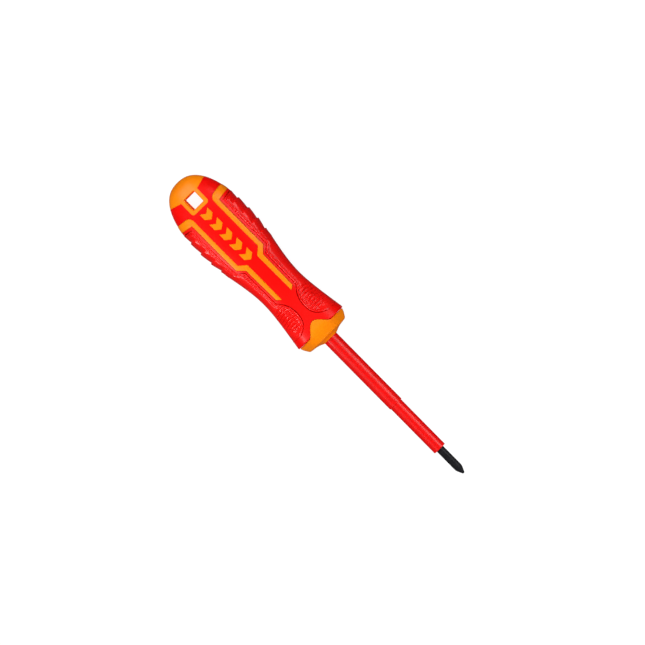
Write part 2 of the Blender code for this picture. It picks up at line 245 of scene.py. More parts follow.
def skin(along, angle, lift=0.0):
    """A point of the handle's surface, moved out along its normal, in millimetres."""
    here = on_handle(along, angle)
    if lift == 0.0:
        return here
    step = 0.05
    ahead = on_handle(along + step, angle) - on_handle(along - step, angle)
    around = on_handle(along, angle + step / 10) - on_handle(along, angle - step / 10)
    return here + around.cross(ahead).normalized() * lift


def height_over(along, y):
    """Height of the handle's upper surface over a point in plan."""
    half_width, half_height = handle_size(along)
    share = min(1.0, abs(y) / half_width)
    return half_height * (1 - share**SECTION_POWER) ** (1 / SECTION_POWER)


def angle_over(along, y):
    """The direction round the axis in which that place of the upper surface lies."""
    return math.atan2(height_over(along, y), y)


# ---------------------------------------------------------------- building blocks

def loft(name, rings, section, capped=True):
    """A solid along the tool: a cylinder, cut into lengths between the rings and shaped ring by ring.

    Each ring is (distance along, half-width, half-height), and the section holds its points from -1 to 1.
    """
    start_clean()
    sides = len(section)
    bpy.ops.mesh.primitive_cylinder_add(
        vertices=sides, radius=1, depth=1, end_fill_type="NGON" if capped else "NOTHING"
    )
    piece = named(name)
    mesh = edit(piece, "EDGE")
    for edge in mesh.edges:
        edge.select = abs(edge.verts[0].co.z - edge.verts[1].co.z) > 0.5
    bpy.ops.mesh.subdivide(number_cuts=len(rings) - 2)
    mesh = bmesh.from_edit_mesh(piece.data)
    for vertex in mesh.verts:
        ring = round((vertex.co.z + 0.5) * (len(rings) - 1))
        side = round(math.atan2(vertex.co.y, vertex.co.x) / (2 * math.pi) * sides) % sides
        along, half_width, half_height = rings[ring]
        y, z = section[side]
        vertex.co = world(along, y * half_width, z * half_height)
    bmesh.update_edit_mesh(piece.data)
    leave_edit()
    return face_outwards(piece) if capped else piece


def oval_section(sides):
    return [
        (handle_radius(angle, 1, 1) * math.cos(angle), handle_radius(angle, 1, 1) * math.sin(angle))
        for angle in (2 * math.pi * i / sides for i in range(sides))
    ]


def collar_radius(angle):
    """The collar's crowned hexagon, with one face up and a rounded corner at each side."""
    reach = 0.0
    for facing in (-math.pi / 6, math.pi / 6, math.pi / 2):
        reach += abs(math.cos(angle - facing)) ** COLLAR_POWER
    return reach ** (-1 / COLLAR_POWER)


def hexagon_section(sides):
    points = []
    for i in range(sides):
        angle = 2 * math.pi * i / sides
        radius = collar_radius(angle)
        across = radius * math.cos(angle) / collar_radius(0)
        up = radius * math.sin(angle) / collar_radius(math.pi / 2)
        points.append((across, up))
    return points


def round_section(sides):
    return [(math.cos(2 * math.pi * i / sides), math.sin(2 * math.pi * i / sides)) for i in range(sides)]


def between(start, end, count):
    return [start + (end - start) * i / count for i in range(count + 1)]


def handle_stations():
    """Distances along the handle: 1 mm apart, and closer over the butt's dome and the front edge."""
    dome = [BULGE_AT * (1 - math.cos(math.pi / 2 * i / 26)) for i in range(26)]
    straight = between(BULGE_AT, BODY_END - FRONT_EDGE_LENGTH, round(BODY_END - BULGE_AT))
    return dome + straight + between(BODY_END - FRONT_EDGE_LENGTH, BODY_END, 6)[1:]


def handle_solid(name):
    rings = [(along, *handle_size(along)) for along in handle_stations()]
    return loft(name, rings, oval_section(HANDLE_SIDES))


def inset_solid(name, start, end, inset):
    """The handle's shape between two distances along it, with its surface moved in."""
    rings = []
    for along in between(start, end, 30):
        half_width, half_height = handle_size(min(along, BODY_END - FRONT_EDGE_LENGTH))
        rings.append((along, half_width - inset, half_height - inset))
    return loft(name, rings, oval_section(HANDLE_SIDES // 2))


def prism(name, outline, low=-CUT_BEYOND, high=CUT_BEYOND):
    """A flat outline in plan, extruded between two heights."""
    start_clean()
    bpy.ops.mesh.primitive_circle_add(vertices=len(outline), radius=1, fill_type="NGON")
    piece = named(name)
    for vertex, (x, y) in zip(piece.data.vertices, outline):
        vertex.co = world(x, y, low)
    edit(piece)
    bpy.ops.mesh.select_all(action="SELECT")
    bpy.ops.mesh.extrude_region_move(TRANSFORM_OT_translate={"value": (0, 0, (high - low) * MM)})
    leave_edit()
    return face_outwards(piece)


def stacked_cutter(name, outline, levels):
    """A cutter whose rings follow the handle's surface. A level is (lift off it, growth of the outline)."""
    start_clean()
    bpy.ops.mesh.primitive_circle_add(vertices=len(outline), radius=1, fill_type="NGON")
    piece = named(name)
    edit(piece)
    for _ in levels[1:]:
        bpy.ops.mesh.extrude_region_move()
    leave_edit()
    count = len(outline)
    for level, (lift, growth) in enumerate(levels):
        for i, (x, y) in enumerate(grown(outline, growth)):
            piece.data.vertices[level * count + i].co = world(x, y, height_over(x, y) + lift)
    return face_outwards(piece)


def slab(name, upper, lower):
    """A grid with thickness, whose two sides are moved onto given places.

    Seen from outside, the rows follow each other along the tool and a row's points run to the left.
    """
    start_clean()
    along, across = len(upper) - 1, len(upper[0]) - 1
    bpy.ops.mesh.primitive_grid_add(x_subdivisions=along, y_subdivisions=across, size=1)
    piece = named(name)
    apply_modifier(piece, "SOLIDIFY", thickness=0.1, offset=-1)
    for vertex in piece.data.vertices:
        i = round((vertex.co.x + 0.5) * along)
        j = round((vertex.co.y + 0.5) * across)
        side = upper if vertex.co.z > -0.05 else lower
        vertex.co = world(*side[i][j])
    return piece


def spread(points, spacing):
    """Points along a polyline, no further apart than the spacing, with its corners kept."""
    result = [points[0]]
    for start, end in zip(points, points[1:]):
        steps = max(1, math.ceil(math.dist(start, end) / spacing))
        for i in range(1, steps + 1):
            result.append(tuple(a + (b - a) * i / steps for a, b in zip(start, end)))
    return result


# ---------------------------------------------------------------- outlines in plan

def mirrored(points):
    return [(x, -y) for x, y in reversed(points)]


def grown(points, by):
    """An anticlockwise outline moved out by a distance, or by one for each point, with mitred corners."""
    distances = by if isinstance(by, list) else [by] * len(points)
    result = []
    for i, (x, y) in enumerate(points):
        x0, y0 = points[i - 1]
        x1, y1 = points[(i + 1) % len(points)]
        before = math.hypot(x - x0, y - y0)
        after = math.hypot(x1 - x, y1 - y)
        ax, ay = (y - y0) / before, (x0 - x) / before
        bx, by_ = (y1 - y) / after, (x - x1) / after
        scale = distances[i] / (1 + ax * bx + ay * by_)
        result.append((x + (ax + bx) * scale, y + (ay + by_) * scale))
    return result


def arc(centre_x, centre_y, radius, start, end, count):
    points = []
    for angle in between(math.radians(start), math.radians(end), count):
        points.append((centre_x + radius * math.cos(angle), centre_y + radius * math.sin(angle)))
    return points


def softened(points, rounds):
    """A polyline with its corners cut again and again, which turns it into a curve between the same ends."""
    for _ in range(rounds):
        cut_points = [points[0]]
        for (x0, y0), (x1, y1) in zip(points, points[1:]):
            cut_points.append((x0 * 0.75 + x1 * 0.25, y0 * 0.75 + y1 * 0.25))
            cut_points.append((x0 * 0.25 + x1 * 0.75, y0 * 0.25 + y1 * 0.75))
        points = cut_points + [points[-1]]
    return points


HOLE_START, HOLE_END, HOLE_HALF, HOLE_CORNER = 9.5, 16.9, 3.7, 0.5
FRAME_END, FRAME_HALF, FRAME_CORNER = 19.0, 5.85, 1.6
CAP_SLANT_X, CAP_SLANT_Y = -4.9, 16.2


def cap_outline():
    """The butt cap in plan: the end of the handle and the frame round the hanging hole."""
    edge = HOLE_START + 0.2
    corner = FRAME_END - FRAME_CORNER
    far_x, far_y = edge + CAP_SLANT_X, FRAME_HALF + CAP_SLANT_Y
    return (
        [(-2, -far_y), (far_x, -far_y), (edge, -FRAME_HALF)]
        + arc(corner, FRAME_CORNER - FRAME_HALF, FRAME_CORNER, -90, 0, 8)
        + arc(corner, FRAME_HALF - FRAME_CORNER, FRAME_CORNER, 0, 90, 8)
        + [(edge, FRAME_HALF), (far_x, far_y), (-2, far_y)]
    )


def hole_outline():
    outline = []
    rear, front = HOLE_START + HOLE_CORNER, HOLE_END - HOLE_CORNER
    side = HOLE_HALF - HOLE_CORNER
    corners = ((rear, -side, 180), (front, -side, 270), (front, side, 0), (rear, side, 90))
    for x, y, start in corners:
        outline += arc(x, y, HOLE_CORNER, start, start + 90, 4)
    return outline


STRIPE_TURN = arc(21.0, 11.0, 3.5, 195, 270, 8)
STRIPE_INNER = [(16.0, 21.0), (17.5, 11.2)] + STRIPE_TURN + [(53.8, 7.5), (57.2, 3.55), (82.6, 3.65)]
STRIPE_OUTER = [(20.1, 21.0), (22.1, 10.0), (55.1, 10.0), (58.8, 6.25), (81.0, 5.95)]


def stripe_outline():
    return STRIPE_INNER + STRIPE_OUTER[::-1]


REST_EDGE = [
    (82.2, 7.55), (84.6, 5.4), (87.6, 3.7), (91.2, 2.8),
    (95.0, 2.7), (98.8, 3.8), (101.6, 6.4), (103.2, 10.0),
]
GRIP_LIP = [(23.6, 11.7), (56.0, 11.7), (59.6, 7.75), (82.2, 7.55)] + softened(REST_EDGE, 3)[1:]
GRIP_REAR = [(21.6, 24.0), (22.3, 17.0), (23.6, 11.7)]
GRIP_FRONT = [(103.2, 10.0), (103.6, 24.0)]


def grip_outline():
    return GRIP_REAR[:-1] + GRIP_LIP + GRIP_FRONT[1:]


TONGUE_HALF, TONGUE_DEPTH = 7.6, 5.8


def tongue_edge(count):
    """The bell-shaped rear edge of the collar's tongue."""
    bell = []
    for share in between(-1, 1, count):
        depth = TONGUE_DEPTH * (0.5 + 0.5 * math.cos(math.pi * share)) ** 0.75
        bell.append((BODY_END - depth, -TONGUE_HALF * share))
    return bell


def tongue_outline(front):
    return tongue_edge(28) + [(front, -TONGUE_HALF), (front, TONGUE_HALF)]


MARK_COUNT = 5
MARKS_START, MARKS_END = 20.6, 56.4
MARK_ARM, MARK_POINT, MARK_HALF = 4.1, 2.2, 2.85
MARK_PITCH = (MARKS_END - MARKS_START - MARK_ARM - MARK_POINT) / (MARK_COUNT - 1)


def mark_outline(index):
    x = MARKS_START + index * MARK_PITCH
    return [
        (x, -MARK_HALF),
        (x + MARK_ARM, -MARK_HALF),
        (x + MARK_ARM + MARK_POINT, 0),
        (x + MARK_ARM, MARK_HALF),
        (x, MARK_HALF),
        (x + MARK_POINT, 0),
    ]


# ---------------------------------------------------------------- materials

# Sizes of the patterns, in millimetres
FLOW_MOTTLE = 14
GRINDING_RING = 0.35
PHOSPHATE_BLOTCH = 3


def colour(code):
    """An sRGB hex colour as linear RGBA."""
    channels = []
    for i in (0, 2, 4):
        value = int(code[i:i + 2], 16) / 255
        channels.append(value / 12.92 if value <= 0.04045 else ((value + 0.055) / 1.055) ** 2.4)
    return (*channels, 1.0)


def add(tree, kind, links=(), **settings):
    """Adds a node, sets its properties and inputs, and links other nodes' outputs into it."""
    node = tree.nodes.new(kind)
    for name, value in settings.items():
        if hasattr(node, name):
            setattr(node, name, value)
        else:
            node.inputs[name.replace("_", " ")].default_value = value
    for socket, source in dict(links).items():
        tree.links.new(source, node.inputs[socket])
    return node


def start_material(name):
    material = bpy.data.materials.new(name)
    material.use_nodes = True
    tree = material.node_tree
    shader = tree.nodes["Principled BSDF"]
    place = add(tree, "ShaderNodeTexCoord").outputs["Object"]
    return material, tree, shader, place


def moulded(name, base, darker, roughness, grain_mm, grain_depth, specular):
    """Moulded plastic or rubber: one colour, faintly mottled by its flow, over the fine grain of the mould.

    The grain of a spark-eroded mould is about 0.05 mm, which is too fine to show, so it is drawn coarser.
    """
    material, tree, shader, place = start_material(name)
    flow = add(tree, "ShaderNodeTexNoise", {"Vector": place}, Scale=1 / (FLOW_MOTTLE * MM), Detail=3.0)
    tint = add(tree, "ShaderNodeMapRange", {"Value": flow.outputs["Fac"]}, From_Min=0.3, From_Max=0.7)
    mixed = add(tree, "ShaderNodeMix", {"Factor": tint.outputs["Result"]}, data_type="RGBA")
    mixed.inputs[6].default_value = colour(darker)
    mixed.inputs[7].default_value = colour(base)
    tree.links.new(mixed.outputs[2], shader.inputs["Base Color"])
    grain = add(tree, "ShaderNodeTexNoise", {"Vector": place}, Scale=1 / (grain_mm * MM), Detail=2.0)
    polish = add(
        tree, "ShaderNodeMapRange", {"Value": grain.outputs["Fac"]},
        From_Min=0.25, From_Max=0.75, To_Min=roughness - 0.05, To_Max=roughness + 0.05,
    )
    tree.links.new(polish.outputs["Result"], shader.inputs["Roughness"])
    height = {"Height": grain.outputs["Fac"]}
    relief = add(tree, "ShaderNodeBump", height, Strength=grain_depth, Distance=0.03 * MM)
    tree.links.new(relief.outputs["Normal"], shader.inputs["Normal"])
    shader.inputs["Specular IOR Level"].default_value = specular
    return material


def phosphated_steel():
    """Chrome-vanadium steel, ground round and then phosphated.

    The phosphate leaves it nearly black and satin, with blotches, and the grinding with fine rings round it.
    """
    material, tree, shader, place = start_material("phosphated_steel")
    shader.inputs["Metallic"].default_value = 0.3
    shader.inputs["Specular IOR Level"].default_value = 0.15
    rings = add(tree, "ShaderNodeMapping", {"Vector": place}, vector_type="POINT")
    rings.inputs["Scale"].default_value = (1.0, 0.04, 0.04)
    along = {"Vector": rings.outputs["Vector"]}
    turning = add(tree, "ShaderNodeTexNoise", along, Scale=1 / (GRINDING_RING * MM), Detail=3.0)
    blotch = add(tree, "ShaderNodeTexNoise", {"Vector": place}, Scale=1 / (PHOSPHATE_BLOTCH * MM), Detail=4.0)
    tint = add(tree, "ShaderNodeMix", {"Factor": blotch.outputs["Fac"]}, data_type="RGBA")
    tint.inputs[6].default_value = colour("141416")
    tint.inputs[7].default_value = colour("2B2B2F")
    tree.links.new(tint.outputs[2], shader.inputs["Base Color"])
    polish = add(
        tree, "ShaderNodeMapRange", {"Value": turning.outputs["Fac"]},
        From_Min=0.3, From_Max=0.7, To_Min=0.32, To_Max=0.46,
    )
    tree.links.new(polish.outputs["Result"], shader.inputs["Roughness"])
    height = {"Height": turning.outputs["Fac"]}
    relief = add(tree, "ShaderNodeBump", height, Strength=0.15, Distance=0.02 * MM)
    tree.links.new(relief.outputs["Normal"], shader.inputs["Normal"])
    return material


def make_materials():
    return {
        # Orange polypropylene, moulded in a finely sparked mould: an even colour with a soft, broad sheen.
        "orange": moulded("orange_moulded_polypropylene", "FF8A06", "FC8404", 0.34, 0.5, 0.25, 0.2),
        # Red polypropylene, moulded in the same way: the same sheen, which keeps the red deep.
        "red": moulded("red_moulded_polypropylene", "F60C06", "EE0604", 0.33, 0.5, 0.25, 0.2),
        # Red thermoplastic rubber, moulded over the pockets: glossier ridges, which show its lips and ribs.
        "soft": moulded("red_thermoplastic_rubber", "F6120C", "EE0C08", 0.27, 0.35, 0.08, 0.36),
        # Red polyamide, extruded on the blade: smooth, with one long streak of light down each side.
        "insulation": moulded("red_insulation_polyamide", "EC0E0B", "E40A08", 0.28, 0.35, 0.05, 0.38),
        # Chrome-vanadium steel, ground and then phosphated black: dark all over, with hardly any reflection.
        "steel": phosphated_steel(),
    }


def finish_piece(piece, material, slot, *nodes, angle=32.0):
    """Gives a finished piece its material and shading, hangs it on the root body, and hides the CAD nodes it
    stands for.
    """
    piece.data.materials.clear()
    piece.data.materials.append(material)
    smooth(piece, angle)
    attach(piece, "root")
    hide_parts(*nodes)
    return piece


# ---------------------------------------------------------------- the handle's pieces

CAVITY_START = 12.0
GRIP_GROOVE, GRIP_GROOVE_START = 0.4, 0.15  # the groove round a grip, and at its rear corner
GRIP_DEPTH = 1.9
POCKET_FLOOR = (2, 106)
# The windows' walls and the hole's mouth: (lift off the handle's surface, growth of the outline)
MARK_WINDOW_LEVELS = ((-1.4, SEAM), (-0.22, SEAM), (-0.06, SEAM + 0.06), (0.4, SEAM + 0.5))
HOLE_LEVELS = ((-4.0, 0.0), (-0.75, 0.0), (-0.4, 0.09), (-0.12, 0.3), (0.35, 0.8))


def make_body(materials):
    """The red shell: the handle's skin, bored out, with windows for the inlays and pockets for the grips."""
    body = handle_solid("body_shell")
    cut(body, inset_solid("cavity", CAVITY_START, BODY_END + 4, WALL))
    cut(body, prism("cap_window", grown(cap_outline(), SEAM)))
    cut(body, prism("tongue_window", grown(tongue_outline(BODY_END + 4), TONGUE_SEAM)))
    outline = stripe_outline()
    stripe = grown(outline, [TIGHT_SEAM] + [STRIPE_SEAM] * (len(outline) - 2) + [TIGHT_SEAM])
    lip_groove = [GRIP_GROOVE_START] + [GRIP_GROOVE] * (len(GRIP_LIP) - 3)
    grip = grown(grip_outline(), [TIGHT_SEAM] * 2 + lip_groove + [TIGHT_SEAM] * 3)
    for stripe_plan, grip_plan in ((stripe, grip), (mirrored(stripe), mirrored(grip))):
        cut(body, prism("stripe_window", stripe_plan))
        pocket = prism("grip_pocket", grip_plan)
        cut(pocket, inset_solid("pocket_floor", *POCKET_FLOOR, GRIP_DEPTH))
        cut(body, pocket)
    for index in range(MARK_COUNT):
        window = stacked_cutter("mark_window", mark_outline(index), MARK_WINDOW_LEVELS)
        other_side = turn_over_copy(window, "mark_window_under")
        cut(body, window)
        cut(body, other_side)
    return finish_piece(body, materials["red"], "red_hard_plastic", "handle_body")


def make_cap(materials):
    cap = handle_solid("butt_cap_moulding")
    cut(cap, prism("cap_plan", cap_outline()), "INTERSECT")
    cut(cap, prism("hole", hole_outline()))
    mouth = stacked_cutter("mouth", hole_outline(), HOLE_LEVELS)
    under = turn_over_copy(mouth, "mouth_under")
    cut(cap, mouth)
    cut(cap, under)
    return finish_piece(cap, materials["orange"], "orange_hard_plastic", "butt_cap")


STRIPE_ROUND = 0.3
STRIPE_PROUD = 0.12
STRIPE_DEPTH = 2.6
EDGE_STEPS = (0.0, 0.04, 0.1, 0.19, 0.32)  # distances from an edge at which a rounded shoulder is drawn


def shoulder(distance, radius):
    """How far a rounded shoulder falls at a distance from the edge."""
    if distance >= radius:
        return 0.0
    return radius - math.sqrt(radius * radius - (radius - distance) ** 2)


def side_crossing(line):
    """Where a line in plan, drawn from beyond the side inwards, crosses the handle's outline."""
    (x0, y0), (x1, y1) = line
    low, high = 0.0, 1.0
    for _ in range(30):
        middle = (low + high) / 2
        x, y = x0 + (x1 - x0) * middle, y0 + (y1 - y0) * middle
        if y > handle_size(x)[0]:
            low = middle
        else:
            high = middle
    return x0 + (x1 - x0) * high, y0 + (y1 - y0) * high


def wrapped(points):
    """(distance along, angle) for points in plan, of which the first lies beyond the handle's side."""
    crossing = side_crossing(points[:2])
    result = [(crossing[0], 0.0)]
    for x, y in spread([crossing] + points[1:], 0.7)[1:]:
        result.append((x, angle_over(x, y)))
    return result


def by_length(points, count, measure):
    """Resamples (distance along, angle) points at even steps of true length."""
    places = [measure(*p) for p in points]
    lengths = [0.0]
    for a, b in zip(places, places[1:]):
        lengths.append(lengths[-1] + (b - a).length)
    result, j = [], 0
    for i in range(count + 1):
        target = lengths[-1] * i / count
        while j < len(lengths) - 2 and lengths[j + 1] < target:
            j += 1
        span = lengths[j + 1] - lengths[j]
        share = 0 if span == 0 else (target - lengths[j]) / span
        result.append(tuple(a + (b - a) * share for a, b in zip(points[j], points[j + 1])))
    return result


def stripe_rows():
    """The left stripe as rows across it, from its upper end, round the side, to its end underneath."""
    inner = wrapped(STRIPE_INNER)
    outer = wrapped(STRIPE_OUTER)

    def breaks(points, corners):
        """Indices of both ends and, between them, of the points nearest the outline's corners."""
        places = [on_handle(*point)[:2] for point in points]
        nearest = [min(range(len(places)), key=lambda i: math.dist(places[i], corner)) for corner in corners]
        return [0] + nearest + [len(places) - 1]

    inner_breaks = breaks(inner, [STRIPE_TURN[-1]] + STRIPE_INNER[-3:-1])
    outer_breaks = breaks(outer, STRIPE_OUTER[1:4])
    counts = (26, 44, 8, 34)
    half = []
    for k, count in enumerate(counts):
        a = by_length(inner[inner_breaks[k]:inner_breaks[k + 1] + 1], count, on_handle)
        b = by_length(outer[outer_breaks[k]:outer_breaks[k + 1] + 1], count, on_handle)
        half += list(zip(a, b))[0 if k == 0 else 1:]
    return half[::-1] + [((a[0], -a[1]), (b[0], -b[1])) for a, b in half[1:]]


def densify_ends(path, steps):
    """Adds rows close to both ends of a path, at given distances in millimetres, for its rounded ends."""
    first, second = path[0], path[1]
    length = (on_handle(*second[0]) - on_handle(*first[0])).length

    def mix(p, q, share):
        return tuple(tuple(a + (b - a) * share for a, b in zip(u, v)) for u, v in zip(p, q))

    start = [mix(first, second, step / length) for step in steps if step < length]
    last, before = path[-1], path[-2]
    end = [mix(last, before, step / length) for step in steps if step < length][::-1]
    return start + path[1:-1] + end


def make_stripe(name):
    path = densify_ends(stripe_rows(), EDGE_STEPS)
    upper, lower = [], []
    for number, (inner, outer) in enumerate(path):
        width = (on_handle(*outer) - on_handle(*inner)).length
        edge = [step / width for step in EDGE_STEPS]
        shares = edge + [0.35, 0.5, 0.65] + [1 - share for share in edge[::-1]]
        from_end = min(number, len(path) - 1 - number)
        end_distance = EDGE_STEPS[from_end] if from_end < len(EDGE_STEPS) else 1.0
        over, under = [], []
        for share in shares[::-1]:
            along = inner[0] + (outer[0] - inner[0]) * share
            angle = inner[1] + (outer[1] - inner[1]) * share
            distance = min(share * width, (1 - share) * width, end_distance)
            over.append(skin(along, angle, STRIPE_PROUD - shoulder(distance, STRIPE_ROUND)))
            under.append(skin(along, angle, -STRIPE_DEPTH))
        upper.append(over)
        lower.append(under)
    return slab(name, upper, lower)


def make_stripes(materials):
    left = make_stripe("left_stripe_inlay")
    right = mirror_copy(left, "right_stripe_inlay")
    for stripe, node in ((left, "left_stripe"), (right, "right_stripe")):
        finish_piece(stripe, materials["orange"], "orange_hard_plastic", node, angle=50)


# Grips
GRIP_EDGE_DEPTHS = (0.0, 0.12, 0.25, 0.4, 0.55, 0.7, 0.9, 1.1, 1.35, 1.6, 1.9, 2.3)  # rows near the lip
GRIP_END_STEPS = (0.0, 0.1, 0.2, 0.3)
LIP_SPACING = 0.34
EDGE_ROUND = 0.25
LIP_AT, LIP_HALF, LIP_HEIGHT = 0.5, 0.65, 0.55
LIP_FADE, LIP_FADED = (97.0, 102.5), 0.85  # where it runs out towards the front, and how far
INSIDE_LIP = (0.9, 2.2)  # the rest, the ribs and the scales come up between these distances from the edge
GROOVE_AT, GROOVE_HALF, GROOVE_DEPTH = 1.35, 0.7, 0.35
REST_AT = (93.0, 8.6)  # the thumb rest's middle in plan
REST_HALF = (10.5, 6.6)
REST_DEPTH = 1.0
RIB_FIRST, RIB_LAST, RIB_PITCH, RIB_HEIGHT = 84.9, 98.6, 1.87, 0.85
RIB_BOW = 0.05
SCALE_EDGES = (22.6, 27.7, 35.3, 42.7, 49.4, 55.5)
SCALE_STEP = 0.85
SCALE_SINK = 0.8  # how far the scales' ground lies below the handle's surface
SCALE_GROUND = ((0.35, 0.5), (0.65, 7.0))  # shares of that, and how far below the upper edge each is reached
SCALE_CORNER = 1.6
SCALE_TOP = math.radians(41)  # the scales' upper edge, as an angle from the side
SIDE_FROM = math.radians(40)  # the lip and its groove run out on the sides


def bump(value, middle, half):
    """A smooth bump: 1 in the middle and 0 from half its width away."""
    share = abs(value - middle) / half
    return 0.0 if share >= 1 else 0.5 + 0.5 * math.cos(math.pi * share)


def ease(value, start, end):
    share = min(1.0, max(0.0, (value - start) / (end - start)))
    return share * share * (3 - 2 * share)


def rest_share(along, y):
    """How deep in the thumb rest a point lies: 0 on its edge and outside, 1 in the middle."""
    reach = math.hypot((along - REST_AT[0]) / REST_HALF[0], (abs(y) - REST_AT[1]) / REST_HALF[1])
    return ease(1 - reach, 0.0, 0.55)


def off_side(y, z):
    """1 on the faces and 0 on the sides."""
    return ease(math.degrees(math.atan2(abs(z), abs(y))), 20, 36)


def rib_lift(along, y):
    """The ribs across the thumb rest, bowed towards the waist."""
    bowed = along - RIB_BOW * (abs(y) - REST_AT[1]) ** 2
    if not RIB_FIRST - RIB_PITCH / 2 < bowed < RIB_LAST + RIB_PITCH / 2:
        return 0.0
    wave = 0.5 + 0.5 * math.cos(2 * math.pi * (bowed - RIB_FIRST) / RIB_PITCH)
    reach_along = (along - REST_AT[0] + 0.6) / (REST_HALF[0] - 1.6)
    reach_across = (abs(y) - REST_AT[1]) / (REST_HALF[1] - 1.3)
    return RIB_HEIGHT * wave**1.7 * ease(1 - math.hypot(reach_along, reach_across), 0.0, 0.22)


def scale_lift(along, y, z):
    """The scales on the sides behind the waist: each stands up at its rear edge and slopes down forwards.

    Its upper edge turns forward in a hook and runs out with the slope.
    """
    reach = math.hypot(y, z)
    below = reach * (SCALE_TOP - abs(math.atan2(abs(z), abs(y))))
    if below <= 0 or not SCALE_EDGES[0] < along < SCALE_EDGES[-1]:
        return 0.0
    for start, end in zip(SCALE_EDGES, SCALE_EDGES[1:]):
        if along < end:
            break
    corner_x = max(0.0, SCALE_CORNER - (along - start))
    corner_y = max(0.0, SCALE_CORNER - below)
    inside = SCALE_CORNER - math.hypot(corner_x, corner_y)
    slope = 1 - (along - start) / (end - start)
    runs_out = ease(SCALE_EDGES[-1] - along, 0.0, 5.0) * ease(along - SCALE_EDGES[0], -0.1, 0.4)
    ground = SCALE_SINK * sum(share * ease(below, 0.0, reached) for share, reached in SCALE_GROUND) * runs_out
    return SCALE_STEP * ease(inside, 0.0, 0.45) * slope**0.8 - ground


def grip_line(top, side, depths, inner_count):
    """Shares from the lip to the side, close together at the lip."""
    length = (on_handle(*side) - on_handle(*top)).length * 1.08
    shares = [d / length for d in depths]
    last = shares[-1]
    return shares + [last + (1 - last) * i / inner_count for i in range(1, inner_count + 1)]


def make_grip(name):
    lip = [(x, angle_over(x, y)) for x, y in spread(GRIP_LIP, LIP_SPACING)]
    rear_side = side_crossing([GRIP_REAR[0], GRIP_REAR[1]])[0]
    front_side = side_crossing([GRIP_FRONT[1], GRIP_FRONT[0]])[0]
    first, last = lip[0][0], lip[-1][0]
    path = []
    for along, angle in lip:
        share = (along - first) / (last - first)
        path.append(((along, angle), (rear_side + (front_side - rear_side) * share, 0.0)))
    path = densify_ends(path, GRIP_END_STEPS)

    rows = []
    for top, side in path:
        shares = grip_line(top, side, GRIP_EDGE_DEPTHS, 30)
        row = []
        for share in shares:
            row.append((top[0] + (side[0] - top[0]) * share, top[1] * (1 - share)))
        rows.append(row + [(x, -angle) for x, angle in row[-2::-1]])

    edge = [on_handle(*p) for p in rows[0]] + [on_handle(*p) for p in rows[-1]]
    edge += [on_handle(*row[0]) for row in rows] + [on_handle(*row[-1]) for row in rows]
    tree = KDTree(len(edge))
    for i, place in enumerate(edge):
        tree.insert(place, i)
    tree.balance()

    lifted = []
    for row in rows:
        line = []
        for along, angle in row:
            place = on_handle(along, angle)
            distance = tree.find(place)[2]
            inside = ease(distance, *INSIDE_LIP)
            lift = LIP_HEIGHT * bump(distance, LIP_AT, LIP_HALF)
            lift -= GROOVE_DEPTH * bump(distance, GROOVE_AT, GROOVE_HALF)
            lift *= 1 - LIP_FADED * max(ease(along, *LIP_FADE), ease(SIDE_FROM - abs(angle), 0.0, 0.4))
            on_face = inside * off_side(place.y, place.z)
            lift -= REST_DEPTH * rest_share(place.x, place.y) * on_face
            lift += rib_lift(place.x, place.y) * on_face
            lift += scale_lift(place.x, place.y, place.z) * inside
            lift -= shoulder(distance, EDGE_ROUND)
            line.append(skin(along, angle, lift))
        lifted.append(line)
    lower = [[skin(along, angle, -GRIP_DEPTH + 0.1) for along, angle in row] for row in rows]
    return slab(name, lifted, lower)


def make_grips(materials):
    left = make_grip("left_grip_moulding")
    right = mirror_copy(left, "right_grip_moulding")
    for grip, node in ((left, "left_grip"), (right, "right_grip")):
        finish_piece(grip, materials["soft"], "red_soft_rubber", node, angle=60)


MARK_PROUD, MARK_DEPTH = 0.05, 1.3


def make_mark(index):
    """One chevron, standing a little proud of the face."""
    start = MARKS_START + index * MARK_PITCH
    edge = [d / (2 * MARK_HALF) for d in EDGE_STEPS]
    across = edge + [0.2, 0.35, 0.495, 0.505, 0.65, 0.8] + [1 - share for share in edge[::-1]]
    arm = [d / MARK_ARM for d in EDGE_STEPS]
    along_shares = arm + [0.3, 0.5, 0.7] + [1 - share for share in arm[::-1]]
    upper, lower = [], []
    for along_share in along_shares:
        over, under = [], []
        for share in across:
            y = MARK_HALF * (2 * share - 1)
            x = start + MARK_ARM * along_share + MARK_POINT * (1 - abs(y) / MARK_HALF)
            to_side = min(share, 1 - share) * 2 * MARK_HALF
            to_end = min(along_share, 1 - along_share) * MARK_ARM
            fall = shoulder(min(to_side, to_end), EDGE_ROUND)
            over.append(skin(x, angle_over(x, y), MARK_PROUD - fall))
            under.append(skin(x, angle_over(x, y), -MARK_DEPTH))
        upper.append(over)
        lower.append(under)
    return slab(f"front_chevron_{index + 1}", upper, lower)


def make_marks(materials):
    for index in range(MARK_COUNT):
        front = make_mark(index)
        back = turn_over_copy(front, f"back_chevron_{index + 1}")
        finish_piece(front, materials["orange"], "orange_hard_plastic", f"front_mark_{index + 1}", angle=50)
        finish_piece(back, materials["orange"], "orange_hard_plastic", f"back_mark_{index + 1}", angle=50)


# ---------------------------------------------------------------- collar

